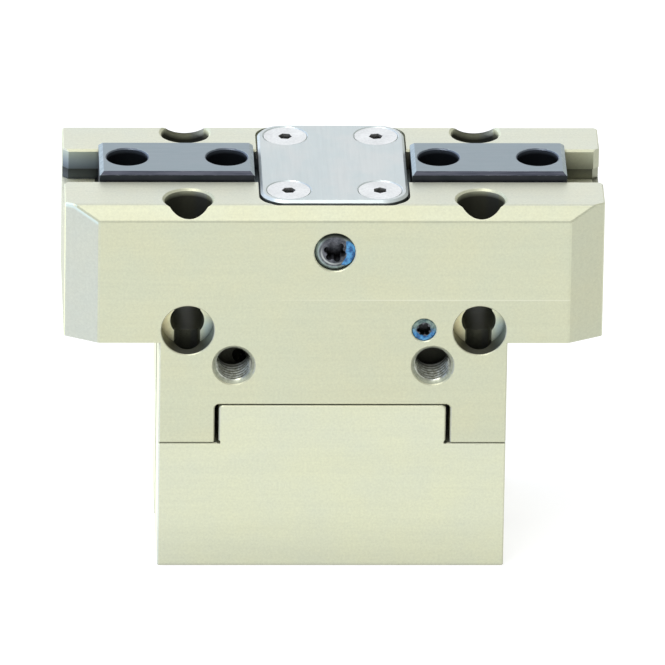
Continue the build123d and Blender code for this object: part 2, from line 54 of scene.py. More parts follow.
# ---- Places on the CAD, in millimetres --------------------------------------------------------
SEAM = 16.4                 # Z, shoulder where the housing stands on the spring housing
TONGUE_HALF = 13.5          # |X|, where the seam's shade begins beside the tongue
TONGUE_GAP = (13.6, 14.4)   # |X| range of the gap beside the tongue
TONGUE_GAP_Z = (16.5, 21.3)
SIDE_HOLE = (17.6, 31.33)   # |X| and Z of the cross holes
SIDE_STEP = 10.0            # |Y|, where their counterbores end
TOP = 47.3                  # Z, top face
BEVEL_START = 11.4          # |Y|, where the bevel along the top face begins
MOUNT = (17.6, 9.85)        # |X| and |Y| of the screw holes in the top face
PURGE_PLUG = (0.0, 41.65)   # X and Z
CHANNEL_PLUG = (10.9, 31.4)
PLUG_FACE = -12.72          # Y, where the plugs' threadlocker lies
PORT = (12.0, 26.7)         # |X| and Z of the air ports
PORT_THREAD = (-12.5, -7.3) # Y range of their threads
PORT_PALE = (-12.62, -12.45) # Y range where their pale mouths end
SLOT_HALF = 6.85            # |Y|, just past the jaw slot and its lead-ins
SLOT_LOW = 42.7             # Z, just below its floor
LIPS_LOW = 44.8             # Z, underside of its lips
LEAD_IN = 31.79             # X, where the lead-in begins
CUTTER_LINE = 35.35         # Z, of the faint step across the front face
FINGER_HOLES = (12.8, 24.8) # |X| of the jaws' bores

# ---- Node helpers -----------------------------------------------------------------------------


class Shader:
    """A material's node tree, with short calls for the nodes the finishes use. Coordinates and
    distances are in millimetres."""

    def __init__(self, name):
        self.material = bpy.data.materials.new(name)
        self.material.use_nodes = True
        self.tree = self.material.node_tree
        self.tree.nodes.clear()
        self.surface = self.tree.nodes.new("ShaderNodeOutputMaterial").inputs["Surface"]
        self.bsdf = self.tree.nodes.new("ShaderNodeBsdfPrincipled")
        self.put(self.surface, self.bsdf.outputs[0])
        self.place = self.tree.nodes.new("ShaderNodeTexCoord").outputs["Object"]

    def put(self, socket, value):
        """Links a socket to another node's output, or sets its constant."""
        if isinstance(value, bpy.types.NodeSocket):
            self.tree.links.new(value, socket)
        else:
            socket.default_value = value

    def set(self, **values):
        """Sets the shader's own sockets, such as base_color or roughness."""
        for name, value in values.items():
            label = name.replace("_", " ").title().replace("Ior", "IOR")
            self.put(self.bsdf.inputs[label], value)

    def noise(self, stretch, detail=2.0, roughness=0.5):
        """Noise over object coordinates, stretched along each axis."""
        mapping = self.tree.nodes.new("ShaderNodeMapping")
        self.put(mapping.inputs["Vector"], self.place)
        mapping.inputs["Scale"].default_value = stretch
        node = self.tree.nodes.new("ShaderNodeTexNoise")
        self.put(node.inputs["Vector"], mapping.outputs[0])
        node.inputs["Scale"].default_value = 1.0
        node.inputs["Detail"].default_value = detail
        node.inputs["Roughness"].default_value = roughness
        return node.outputs["Fac"]

    def span(self, value, low, high, to_low=0.0, to_high=1.0):
        """Remaps a value from one range to another, clamped."""
        node = self.tree.nodes.new("ShaderNodeMapRange")
        for socket, number in zip(node.inputs[1:5], (low, high, to_low, to_high)):
            socket.default_value = number
        self.put(node.inputs[0], value)
        return node.outputs[0]

    def math(self, operation, *values):
        node = self.tree.nodes.new("ShaderNodeMath")
        node.operation = operation
        for socket, value in zip(node.inputs, values):
            self.put(socket, value)
        return node.outputs[0]

    def plus(self, first, second):
        return self.math("ADD", first, second)

    def minus(self, first, second):
        return self.math("SUBTRACT", first, second)

    def larger(self, first, second):
        return self.math("MAXIMUM", first, second)

    def below(self, value, limit):
        return self.math("LESS_THAN", value, limit)

    def above(self, value, limit):
        return self.math("GREATER_THAN", value, limit)

    def product(self, *values):
        """All the values multiplied."""
        result = values[0]
        for value in values[1:]:
            result = self.math("MULTIPLY", result, value)
        return result

    def within(self, value, low, high):
        """1 between two limits, 0 outside them."""
        return self.product(self.above(value, low), self.below(value, high))

    def apart(self, value, middle):
        """How far a value is from a middle."""
        return self.math("ABSOLUTE", self.minus(value, middle))

    def radius(self, first, second, centre):
        """Distance from an axis, from two coordinates and the axis's place among them."""
        sides = [self.minus(value, middle) for value, middle in zip((first, second), centre)]
        return self.math("SQRT", self.plus(*[self.product(side, side) for side in sides]))

    def mix(self, factor, first, second, blend="MIX"):
        node = self.tree.nodes.new("ShaderNodeMix")
        node.data_type = "RGBA"
        node.blend_type = blend
        self.put(node.inputs["Factor"], factor)
        self.put(node.inputs[6], first)
        self.put(node.inputs[7], second)
        return node.outputs[2]

    def tinted(self, colour, shade):
        """A colour times a shade."""
        return self.mix(1.0, colour, shade, "MULTIPLY")

    def tinted_at(self, where, colour, tint):
        """A colour times a tint, where a mask says so."""
        return self.tinted(colour, self.mix(where, WHITE, tint))

    def bump(self, height, distance, strength):
        node = self.tree.nodes.new("ShaderNodeBump")
        node.inputs["Distance"].default_value = distance * MM
        node.inputs["Strength"].default_value = strength
        self.put(node.inputs["Height"], height)
        return node.outputs[0]

    def split(self, vector):
        node = self.tree.nodes.new("ShaderNodeSeparateXYZ")
        self.put(node.inputs[0], vector)
        return node.outputs

    def axes(self):
        """The X, Y and Z of object coordinates."""
        node = self.tree.nodes.new("ShaderNodeVectorMath")
        node.operation = "SCALE"
        self.put(node.inputs[0], self.place)
        node.inputs["Scale"].default_value = 1 / MM
        return self.split(node.outputs[0])

    def facing(self):
        """The absolute X, Y and Z of the surface's normal."""
        geometry = self.tree.nodes.new("ShaderNodeNewGeometry")
        return [self.math("ABSOLUTE", part) for part in self.split(geometry.outputs["True Normal"])]

    def signed_facing(self):
        """The X, Y and Z of the surface's smooth normal."""
        geometry = self.tree.nodes.new("ShaderNodeNewGeometry")
        return self.split(geometry.outputs["Normal"])

    def edges(self, radius):
        """1 on outer edges, 0 on flat surfaces."""
        bevel = self.tree.nodes.new("ShaderNodeBevel")
        bevel.samples = 6
        bevel.inputs["Radius"].default_value = radius * MM
        geometry = self.tree.nodes.new("ShaderNodeNewGeometry")
        dot = self.tree.nodes.new("ShaderNodeVectorMath")
        dot.operation = "DOT_PRODUCT"
        self.put(dot.inputs[0], bevel.outputs[0])
        self.put(dot.inputs[1], geometry.outputs["Normal"])
        return self.span(dot.outputs["Value"], 0.995, 0.85)

    def worn(self, radius, scale, low, high, least, most):
        """Uneven wear on outer edges, between a least and a most."""
        patches = self.span(self.noise((scale,) * 3), low, high, least, most)
        return self.product(self.edges(radius), patches)

    def crevices(self, distance, local=False):
        """1 in the open, 0 deep in corners."""
        node = self.tree.nodes.new("ShaderNodeAmbientOcclusion")
        node.samples = 6
        node.only_local = local
        node.inputs["Distance"].default_value = distance * MM
        return node.outputs["AO"]


def rgb(red, green, blue):
    """A colour from 0 to 255 sRGB values."""
    def linear(value):
        value /= 255
        return value / 12.92 if value <= 0.04045 else ((value + 0.055) / 1.055) ** 2.4
    return (linear(red), linear(green), linear(blue), 1.0)


def lighter(colour, gain, lift):
    """A paler version of a colour, for its worn edges."""
    return tuple(min(1.0, part * gain + lift) for part in colour[:3]) + (1.0,)


# ---- Finishes ---------------------------------------------------------------------------------
def anodised(name, colour, warm, roughness, details=None):
    """Hard-anodised aluminium: milled, then etched matte, with fine grain and cloudy tint, painted
    light by facing and painted shade in creases.
    """
    s = Shader(name)
    face_x, face_y, face_z = s.facing()
    across = s.signed_facing()[0]
    cloud = s.noise((130, 100, 150), detail=3, roughness=0.6)
    grain = s.noise((3300,) * 3, detail=3, roughness=0.7)
    along_x = s.noise((60, 2200, 2200), detail=2, roughness=0.6)
    along_z = s.noise((2200, 2200, 60), detail=2, roughness=0.6)
    lines = s.mix(face_x, along_x, along_z)
    shaded = s.mix(s.span(cloud, 0.36, 0.64), colour, warm)
    # Painted light and shade by facing: faces turned up painted lighter, the top ones bluer; front
    # corner chamfers painted cool on the left and darker on the right.
    corner = s.product(s.above(face_y, 0.6), s.below(face_z, 0.3))
    for where, tint in (
            (s.span(face_z, 0.85, 0.95), (1.05, 1.04, 1.14, 1.0)),
            (s.span(face_z, 0.5, 0.6), (1.04, 1.03, 1.03, 1.0)),
            (s.product(corner, s.span(across, -0.2, -0.4)), (0.88, 0.90, 1.08, 1.0)),
            (s.product(corner, s.span(across, 0.2, 0.4)), (0.86, 0.86, 0.87, 1.0))):
        shaded = s.tinted_at(where, shaded, tint)
    speck = s.span(grain, 0.3, 0.7, 0.94, 1.05)
    streak = s.span(lines, 0.3, 0.7, 0.985, 1.015)
    shaded = s.tinted(shaded, s.product(speck, streak))
    shaded = s.mix(s.worn(0.16, 700, 0.35, 0.7, 0.1, 0.5), shaded, rgb(238, 238, 216))
    # Painted shade in creases and between parts, from ambient occlusion, and along the shoulder seam;
    # none on the underside.
    seam = s.product(s.span(s.crevices(0.7), 0.2, 0.8, 0.3, 1.0), seam_shade(s))
    underside = s.below(s.axes()[2], 0.05)
    seam = s.larger(seam, underside)
    # The details add their own painted light and shade, and lift the crease shade as painted light
    # where they say it is lit and in the gaps beside the tongue.
    if details is not None:
        shaded, lit = details(s, shaded)
        seam = s.larger(seam, s.larger(lit, tongue_sides(s)))
    shaded = s.tinted(shaded, seam)
    height = s.plus(s.product(grain, 0.7), s.product(lines, 0.5))
    s.set(base_color=shaded, metallic=0.6, normal=s.bump(height, 0.006, 0.6),
          roughness=s.span(cloud, 0.3, 0.7, roughness - 0.03, roughness + 0.04))
    return s.material


def seam_shade(s):
    """Dark along the shoulder seam, beyond the tongue."""
    x, _, z = s.axes()
    near = s.span(s.apart(z, SEAM), 0.15, 0.08)
    return s.minus(1.0, s.product(near, s.above(s.math("ABSOLUTE", x), TONGUE_HALF), 0.5))


def tongue_sides(s):
    """1 in the open gaps beside the tongue."""
    x, _, z = s.axes()
    return s.product(s.within(s.math("ABSOLUTE", x), *TONGUE_GAP), s.within(z, *TONGUE_GAP_Z))


class Spot:
    """A place on the housing: its coordinates, its depth under the rim and which way it faces."""

    def __init__(self, s):
        self.x, self.y, self.z = s.axes()
        self.face_x, self.face_y, self.face_z = s.facing()
        self.up = s.signed_facing()[2]
        self.reach = s.math("ABSOLUTE", self.x)
        self.beyond = s.math("ABSOLUTE", self.y)
        rim = s.minus(TOP, s.larger(0.0, s.minus(self.beyond, BEVEL_START)))
        self.under_rim = s.minus(rim, self.z)


def by_depth(s, at):
    """Painted shade, darker with depth, though less so in the two switch grooves."""
    shade = s.span(s.math("POWER", s.crevices(6.0, True), 1.8), 0.0, 0.72, 0.065, 1.0)
    groove = s.product(s.above(at.reach, 15.9), s.below(at.beyond, 3.0), s.below(at.z, 29.0))
    return s.mix(groove, shade, s.larger(shade, 0.55))


def cross_bores(s, at, shade):
    """The cross holes' counterbores: walls painted darker as shade where they face up, steps painted
    lighter.
    """
    across = s.radius(at.reach, at.z, SIDE_HOLE)
    inside = s.product(s.below(across, 3.26), s.below(at.beyond, 12.86))
    step = s.product(inside, s.below(s.apart(at.beyond, SIDE_STEP), 0.03), s.above(across, 2.07))
    wall = s.product(inside, s.below(at.face_y, 0.5))
    shade = s.mix(wall, shade, s.span(at.up, 0.1, 0.8, 0.62, 0.24))
    shade = s.mix(step, shade, s.span(across, 2.1, 3.2, 1.45, 1.05))
    return shade, s.larger(step, wall)


def head_bores(s, at, shade):
    """The counterbores in the top face, painted almost black below their rims as shade."""
    across = s.radius(at.reach, at.beyond, MOUNT)
    inside = s.product(s.below(across, 2.96), s.above(at.under_rim, 0.06), s.above(at.z, 35.5))
    return s.mix(inside, shade, s.span(at.under_rim, 0.4, 0.95, 1.0, 0.14))


def plug_mouths(s, at, shade):
    """The bevels round the two plugs, painted dim where they face down and painted light elsewhere."""
    mouths = s.larger(s.below(s.radius(at.x, at.z, PURGE_PLUG), 2.56),
                      s.below(s.radius(at.x, at.z, CHANNEL_PLUG), 1.56))
    mouths = s.product(mouths, s.below(at.y, -12.6), s.below(at.face_y, 0.9))
    return s.mix(mouths, shade, s.span(at.up, -0.9, -0.5, 0.5, 1.3)), mouths


def slot_depth(s, z, neck, flange):
    """A shade that runs down the slot's neck between two values, then down its flange."""
    return s.plus(s.product(s.above(z, LIPS_LOW), s.span(z, 46.9, 44.9, *neck)),
                  s.product(s.below(z, LIPS_LOW), s.span(z, 44.6, 43.2, *flange)))


def jaw_slot(s, at, shade):
    """The jaws' slot: painted shade by depth, painted light on its floor at the ends and on its right
    lead-in.
    """
    between = s.product(s.below(at.beyond, SLOT_HALF), s.above(at.z, SLOT_LOW))
    slot = s.product(between, s.below(at.z, 47.02), s.below(at.x, LEAD_IN), s.below(at.reach, 32.49))
    bottom = s.product(slot, s.above(at.face_z, 0.9), s.above(at.reach, 28.6))
    depth = s.math("MINIMUM", s.plus(shade, 0.02), slot_depth(s, at.z, (0.8, 0.3), (0.06, 0.24)))
    shade = s.mix(slot, shade, s.larger(depth, s.product(bottom, 1.4)))
    lead_in = s.product(between, s.above(at.x, LEAD_IN), s.below(at.face_z, 0.9))
    return s.mix(lead_in, shade, s.span(at.z, 44.9, 44.7, 0.85, 0.6)), slot, bottom


def plate_pocket(s, at, shade):
    """The walls of the cover plate's pocket, lit towards the back."""
    edge = s.larger(s.minus(at.reach, 8.0), s.minus(at.beyond, 10.3))
    pocket = s.product(s.below(at.reach, 9.2), s.above(at.beyond, 6.9), s.within(at.z, 45.9, 47.27),
                       s.below(edge, 1.25))
    return s.mix(pocket, shade, s.larger(shade, s.span(at.y, -2.0, 6.0))), pocket


def bore_tints(s, at, shaded, bores):
    """Cool light low on the right of the cross holes' counterbores, warm on their left."""
    beside = s.minus(at.x, s.product(s.math("SIGN", at.x), SIDE_HOLE[0]))
    cool = s.product(bores, s.span(beside, 1.2, 2.4), s.span(at.z, 32.0, 30.6))
    shaded = s.tinted_at(cool, shaded, (0.80, 0.92, 1.16, 1.0))
    warm = s.product(bores, s.span(beside, -1.2, -2.4))
    return s.tinted_at(warm, shaded, (1.08, 1.0, 0.86, 1.0))


def head_ends(s, at, shaded, slot):
    """Painted: shade on the end faces, a highlight on the front left corner edge, cold light in the
    slot's left half.
    """
    ends = s.product(s.above(at.face_x, 0.95), s.above(at.reach, 32.3))
    shaded = s.tinted(shaded, s.span(ends, 0.0, 1.0, 1.0, 0.62))
    corner = s.product(s.below(at.x, -28.0), s.below(at.y, -10.8), s.above(at.face_x, 0.3),
                       s.above(at.face_y, 0.3), s.span(at.under_rim, 0.65, 0.35))
    shaded = s.mix(s.product(corner, 0.6), shaded, rgb(224, 244, 242))
    cold = s.mix(s.span(at.z, 46.9, 45.2), rgb(146, 158, 152), rgb(124, 144, 166))
    cold = s.tinted(cold, slot_depth(s, at.z, (1.3, 0.42), (0.03, 0.2)))
    left_slot = s.product(slot, s.below(at.x, 0.0), s.below(at.face_z, 0.9))
    return s.mix(s.product(left_slot, 0.75), shaded, cold)


def cutter_step(s, at, shaded):
    """The faint step that the cutter left across the right of the front face."""
    front = s.product(s.above(at.face_y, 0.95), s.below(at.y, -12.9), s.span(at.x, -9.0, 6.0))
    line = s.span(s.apart(at.z, CUTTER_LINE), 0.03, 0.10, 1.0, 0.0)
    shaded = s.mix(s.product(line, front, 0.5), shaded, rgb(240, 240, 220))
    under_line = s.product(s.below(at.z, CUTTER_LINE), front)
    return s.tinted(shaded, s.span(under_line, 0.0, 1.0, 1.0, 0.975))


def housing_details(s, shaded):
    """Painted light and shade in the housing's bores, slot, pocket and ends, its cutter step, and a
    mask of what the seams' shade leaves lit.
    """
    at = Spot(s)
    shade, bores = cross_bores(s, at, by_depth(s, at))
    shade = head_bores(s, at, shade)
    shade, mouths = plug_mouths(s, at, shade)
    shade, slot, slot_bottom = jaw_slot(s, at, shade)
    shade, pocket = plate_pocket(s, at, shade)
    shaded = bore_tints(s, at, s.tinted(shaded, shade), bores)
    shaded = cutter_step(s, at, head_ends(s, at, shaded, slot))
    lit = s.larger(s.product(pocket, s.span(at.y, 0.0, 5.0)), slot_bottom)
    return shaded, s.larger(lit, s.product(mouths, s.span(at.up, -0.9, -0.5)))


def spring_housing_details(s, shaded):
    """A slight shade towards the foot, and nothing that the seams' shade leaves lit."""
    return s.tinted(shaded, s.span(s.axes()[2], 0.5, 7.0, 0.88, 1.0)), 0.0


def brushed(name, colour, roughness, stretch):
    """Brushed or ground steel: fine lines along one axis, a few deeper."""
    s = Shader(name)
    fine = s.noise(stretch, detail=3, roughness=0.7)
    broad = s.noise(tuple(value * 0.22 for value in stretch), detail=1)
    lines = s.plus(s.product(fine, 0.65), s.product(broad, 0.35))
    shaded = s.tinted(colour, s.span(lines, 0.35, 0.65, 0.9, 1.03))
    shaded = s.mix(s.worn(0.15, 900, 0.4, 0.7, 0.1, 0.6), shaded, lighter(colour, 1.6, 0.05))
    s.set(base_color=shaded, metallic=1.0, normal=s.bump(lines, 0.004, 0.7),
          roughness=s.span(lines, 0.35, 0.65, roughness - 0.04, roughness + 0.05))
    return s.material


def plate_steel(name):
    """Satin stainless plate: faint vertical brushing, soft cloudy patches, a painted highlight on the
    bevel, painted shade on the sides.
    """
    s = Shader(name)
    face_x, _, face_z = s.facing()
    fine = s.noise((2600, 120, 2600), detail=3, roughness=0.7)
    cloud = s.noise((260, 160, 260), detail=3, roughness=0.6)
    tone = s.product(s.span(fine, 0.3, 0.7, 0.965, 1.03), s.span(cloud, 0.3, 0.7, 0.96, 1.03))
    colour = s.mix(s.span(cloud, 0.4, 0.62), rgb(204, 211, 206), rgb(209, 212, 206))
    shaded = s.tinted(colour, tone)
    # Painted highlight on the sloped bevel, strongest on the front.
    slope = s.product(s.span(face_z, 0.6, 0.66), s.span(face_z, 0.86, 0.8))
    shaded = s.mix(s.product(slope, s.span(face_x, 0.3, 0.6, 0.8, 0.25)), shaded, rgb(226, 236, 234))
    # Painted shade on the side walls.
    wall = s.span(face_z, 0.5, 0.3)
    shaded = s.mix(wall, shaded, rgb(120, 126, 122))
    s.set(base_color=shaded, metallic=0.75, roughness=s.span(cloud, 0.3, 0.7, 0.38, 0.46),
          normal=s.bump(fine, 0.002, 0.5))
    return s.material


def turned(name, colour, roughness, metallic=1.0, deep=0.0):
    """Fine-machined metal with grain and lighter worn edges. Deep is how dark the painted shade in its
    sockets gets.
    """
    s = Shader(name)
    grain = s.noise((3000,) * 3, detail=3, roughness=0.6)
    cloud = s.noise((420,) * 3, detail=2)
    tone = s.product(s.span(grain, 0.3, 0.7, 0.9, 1.06), s.span(cloud, 0.3, 0.7, 0.88, 1.06))
    shaded = s.tinted(colour, tone)
    shaded = s.mix(s.product(s.edges(0.1), 0.5), shaded, lighter(colour, 1.5, 0.06))
    if deep:
        # Painted shade deep in sockets and recesses, from ambient occlusion.
        shaded = s.tinted(shaded, s.span(s.crevices(1.5, True), 0.35, 0.85, 1.0 - deep, 1.0))
    s.set(base_color=shaded, metallic=metallic, normal=s.bump(grain, 0.004, 0.5),
          roughness=s.span(cloud, 0.3, 0.7, roughness - 0.05, roughness + 0.06))
    return s.material


def jaw_steel(name):
    """Hardened jaw: ground blue-grey top and end bevels, dark oxide on its sides, bores painted black
    as shade.
    """
    s = Shader(name)
    x, y, z = s.axes()
    face_x, _, face_z = s.facing()
    fine = s.noise((150, 2600, 2600), detail=3, roughness=0.7)
    cloud = s.noise((300,) * 3, detail=3, roughness=0.6)
    ground = s.mix(s.span(cloud, 0.35, 0.65), rgb(143, 155, 157), rgb(150, 160, 162))
    ground = s.tinted(ground, s.span(fine, 0.3, 0.7, 0.95, 1.04))
    oxide = s.mix(s.span(cloud, 0.35, 0.65), rgb(44, 49, 56), rgb(56, 58, 66))
    side_bevel = s.mix(s.span(fine, 0.4, 0.6), rgb(62, 65, 76), rgb(84, 86, 97))
    end_bevel = s.mix(s.span(fine, 0.4, 0.6), rgb(150, 164, 166), rgb(172, 184, 184))
    bevel = s.mix(s.above(face_x, 0.3), side_bevel, end_bevel)
    shaded = s.mix(s.span(face_z, 0.5, 0.6), oxide, bevel)
    shaded = s.mix(s.span(face_z, 0.9, 0.96), shaded, ground)
    reach = s.math("ABSOLUTE", x)
    inner, outer = [s.radius(reach, y, (hole, 0.0)) for hole in FINGER_HOLES]
    # Painted shade in the bores: mid grey near the mouth, dark deeper down.
    in_bore = s.product(s.below(s.math("MINIMUM", inner, outer), 2.62), s.below(z, 48.42))
    bore_shade = s.span(z, 47.75, 48.1, 0.1, 0.62)
    shaded = s.mix(in_bore, shaded, s.tinted(rgb(128, 138, 150), bore_shade))
    worn = s.product(s.worn(0.12, 1100, 0.45, 0.7, 0.0, 0.6), s.minus(1.0, in_bore))
    shaded = s.mix(worn, shaded, rgb(180, 188, 192))
    s.set(base_color=shaded, metallic=0.7, roughness=s.span(cloud, 0.3, 0.7, 0.36, 0.44),
          normal=s.bump(fine, 0.003, 0.6))
    return s.material


def plug_finish(name, centre, face, rim, lit_border_colour):
    """A screw plug's end: mottled dark steel, a thin painted highlight low on the left, a socket
    painted black as shade.
    """
    s = Shader(name)
    x, _, z = s.axes()
    mottle = s.noise((1300,) * 3, detail=4, roughness=0.7)
    grain = s.noise((4200,) * 3, detail=2)
    radius = s.radius(x, z, centre)
    right, up = s.minus(x, centre[0]), s.minus(z, centre[1])
    # Painted highlight: a thin bright ring round the face, low on the left.
    low_left = s.product(s.span(up, 0.9, -0.7), s.span(right, 1.3, -0.6))
    colour = s.mix(s.span(mottle, 0.4, 0.6), rgb(58, 62, 68), rgb(104, 106, 112))
    ring = s.product(s.span(s.apart(radius, face), 0.05, 0.14, 1.0, 0.0), low_left)
    colour = s.mix(ring, colour, rgb(184, 190, 186))
    # The border is painted dark at the top as shadow, and mottled and lighter below as painted
    # reflected light.
    top = s.span(up, 0.6 * rim, 0.95 * rim)
    border = s.mix(top, s.mix(s.span(mottle, 0.42, 0.58), rgb(120, 134, 128), lit_border_colour), rgb(58, 62, 56))
    outside = s.span(radius, rim - 0.16, rim)
    colour = s.mix(outside, colour, border)
    # Painted shade deep in the socket, from ambient occlusion.
    socket_shade = s.span(s.crevices(1.2, True), 0.4, 0.8, 0.02, 1.0)
    colour = s.tinted(colour, s.larger(socket_shade, outside))
    height = s.plus(mottle, s.product(grain, 0.3))
    s.set(base_color=colour, metallic=0.5, roughness=0.34, normal=s.bump(height, 0.02, 0.6))
    return s.material


def rubber(name):
    s = Shader(name)
    grain = s.noise((4000,) * 3, detail=3)
    s.set(base_color=s.mix(grain, rgb(20, 20, 21), rgb(38, 38, 40)), roughness=0.62,
          normal=s.bump(grain, 0.008, 0.5))
    return s.material


def threadlocker(name, pale_above=None):
    """Dried blue threadlocker: glossy and uneven, light where it is thin, paler above a height."""
    s = Shader(name)
    blob = s.noise((1500,) * 3, detail=4, roughness=0.65)
    colour = s.mix(s.span(blob, 0.4, 0.6), rgb(18, 84, 142), rgb(86, 166, 218))
    if pale_above:
        pale = s.mix(s.span(blob, 0.4, 0.6), rgb(64, 92, 94), rgb(136, 158, 148))
        colour = s.mix(s.span(s.axes()[2], pale_above - 0.5, pale_above + 0.3), colour, pale)
    s.set(base_color=colour, roughness=0.22, normal=s.bump(blob, 0.08, 0.9))
    return s.material


recipes = {
    "housing_anodised": (anodised, rgb(212, 215, 187), rgb(217, 218, 187), 0.46, housing_details),
    "spring_housing_anodised": (anodised, rgb(221, 224, 198), rgb(226, 228, 198), 0.46,
                                spring_housing_details),
    "stainless_plate": (plate_steel,),
    "bright_screws": (turned, rgb(236, 236, 230), 0.42, 0.5, 0.97),
    "dark_screws": (turned, rgb(46, 47, 50), 0.4),
    "plug_steel": (turned, rgb(104, 110, 116), 0.3, 1.0, 0.97),
    "lid_aluminium": (anodised, rgb(210, 212, 188), rgb(218, 218, 192), 0.42),
    "seal_rubber": (rubber,),
    "ring_steel": (turned, rgb(58, 58, 60), 0.42),
    "spring_steel": (turned, rgb(160, 161, 163), 0.3),
    "piston_aluminium": (turned, rgb(205, 206, 200), 0.35),
    "magnet_nickel": (turned, rgb(200, 196, 186), 0.2),
    "hardened_steel": (brushed, rgb(150, 153, 158), 0.3, (2400, 2400, 90)),
    "jaw_steel": (jaw_steel,),
}
finishes = {slot: recipe[0](slot, *recipe[1:]) for slot, recipe in recipes.items()}
node_finishes = {
    "purge_air_plug": plug_finish("purge_plug_steel", PURGE_PLUG, 1.62, 1.98, rgb(150, 166, 164)),
    "channel_plug": plug_finish("channel_plug_steel", CHANNEL_PLUG, 1.1, 1.28, rgb(110, 150, 170)),
}
slot_of = {part["node"]: part["material_slot"] for part in frame["record"]["subparts"]}


def smooth_by_angle(piece, angle=0.5):
    """Smooth shading on curved walls, sharp at the edges."""
    mesh = piece.data
    mesh.shade_smooth()
    mesh.set_sharp_from_angle(angle=angle)


for name, node in frame["nodes"].items():
    node.data.materials.clear()
    node.data.materials.append(node_finishes.get(name) or finishes[slot_of[name]])
    smooth_by_angle(node)


# ---- Added pieces -----------------------------------------------------------------------------
def mesh_piece(name, vertices, faces, material, body):
    """A new mesh from points in millimetres, which rides on a body."""
    mesh = bpy.data.meshes.new(name)
    mesh.from_pydata([Vector(v) * MM for v in vertices], [], faces)
    work = bmesh.new()
    work.from_mesh(mesh)
    bmesh.ops.remove_doubles(work, verts=work.verts, dist=1e-6)
    bmesh.ops.recalc_face_normals(work, faces=work.faces)
    work.to_mesh(mesh)
    work.free()
    mesh.materials.append(material)
    piece = bpy.data.objects.new(name, mesh)
    scene.collection.objects.link(piece)
    smooth_by_angle(piece, 0.6)
    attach(piece, body)
    return piece


def thread(name, at, y, core, crest, pitch, material, segments=48):
    """The countersunk mouth of a tapped hole along Y, and the screw thread that winds inside it as
    a closed helical band: crests at the core radius, roots at the hole's wall."""
    profile = ((0.0, crest), (0.38, core), (0.62, core), (1.0, crest))
    mouth = ((-12.98, 2.62), (-12.9, 2.6), (y[0] + 0.12, core + 0.02), (y[0] + 0.3, core + 0.06))
    vertices, faces = [], []
    for depth, radius in mouth:
        for step in range(segments):
            angle = 2 * pi * step / segments
            vertices.append((at[0] + radius * cos(angle), depth, at[1] + radius * sin(angle)))
    for ring in range(len(mouth) - 1):
        for step in range(segments):
            a, b = ring * segments + step, ring * segments + (step + 1) % segments
            faces.append((a, b, b + segments, a + segments))
    steps = int((y[1] - y[0]) / pitch * segments)
    first = len(vertices)
    for step in range(steps + 1):
        angle = 2 * pi * step / segments
        fade = min(1.0, step / (0.6 * segments))
        for part, radius in profile:
            reach = crest + (radius - crest) * fade
            depth = y[0] + pitch * (step / segments + part - 1.0)
            depth = min(max(depth, y[0]), y[1])
            vertices.append((at[0] + reach * cos(angle), depth, at[1] + reach * sin(angle)))
    count = len(profile)
    for step in range(steps):
        for k in range(count - 1):
            a = first + step * count + k
            faces.append((a, a + 1, a + 1 + count, a + count))
    return mesh_piece(name, vertices, faces, material, "housing")


def port_finish():
    """Bare cut aluminium in the ports: pale mouth, then glossier, with painted shade that darkens with
    depth.
    """
    s = Shader("port_thread")
    y = s.axes()[1]
    grain = s.noise((2400, 900, 2400), detail=3, roughness=0.7)
    bare = s.mix(s.span(grain, 0.4, 0.6), rgb(150, 152, 136), rgb(190, 194, 184))
    mouth = s.mix(s.span(grain, 0.4, 0.6), rgb(186, 191, 168), rgb(206, 209, 186))
    shaded = s.mix(s.span(y, *PORT_PALE), mouth, bare)
    # Painted shade: darker with depth, from ambient occlusion, and in the thread roots.
    shaded = s.mix(s.span(y, -10.0, -7.4), shaded, rgb(52, 51, 50))
    shaded = s.tinted(shaded, s.span(s.crevices(4.0), 0.0, 0.2, 0.25, 1.0))
    shaded = s.tinted(shaded, s.span(s.crevices(0.5, True), 0.3, 0.75, 0.5, 1.0))
    metal = s.span(y, *PORT_PALE, 0.45, 0.9)
    s.set(base_color=shaded, metallic=metal, roughness=s.span(metal, 0.45, 0.9, 0.45, 0.26),
          normal=s.bump(grain, 0.004, 0.5))
    return s.material


def smear(name, at, y, radii, arc, material, bulge=0.12, segments=64, rings=6):
    """A thin uneven blob round a hole's axis along Y, between two radii and over an arc."""
    vertices, faces = [], []
    whole = arc[1] - arc[0] >= 2 * pi - 0.001
    for step in range(segments + 1):
        part = step / segments
        angle = arc[0] + (arc[1] - arc[0]) * part
        taper = 1.0 if whole else sin(pi * part) ** 0.5
        wave = 0.10 * sin(3 * angle + 1.0) + 0.06 * sin(7 * angle + 0.4)
        middle = (radii[0] + radii[1]) / 2
        half = (radii[1] - radii[0]) / 2 * taper * (1.0 + wave)
        outer = min(radii[1], middle + half)
        inner = outer - 2 * half
        for ring in range(rings + 1):
            share = ring / rings
            reach = inner + (outer - inner) * share
            lift = bulge * taper * sin(pi * share) ** 0.6 * (1.0 + 0.3 * sin(5 * angle + 3 * share))
            vertices.append((at[0] + reach * cos(angle), y - lift, at[1] + reach * sin(angle)))
    for step in range(segments):
        for ring in range(rings):
            a = step * (rings + 1) + ring
            faces.append((a, a + 1, a + rings + 2, a + rings + 1))
    return mesh_piece(name, vertices, faces, material, "housing")


bore_finish = port_finish()
for name, side in (("left_port_thread", -1), ("right_port_thread", 1)):
    thread(name, (PORT[0] * side, PORT[1]), PORT_THREAD, 2.06, 2.49, 0.7, bore_finish)


def closing_spring():
    """The closing spring again, as a piece of its own that rides on the housing."""
    node = frame["nodes"]["closing_spring"]
    piece = bpy.data.objects.new("closing_spring_coil", node.data.copy())
    scene.collection.objects.link(piece)
    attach(piece, "housing")
    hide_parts("closing_spring")
    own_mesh(piece)


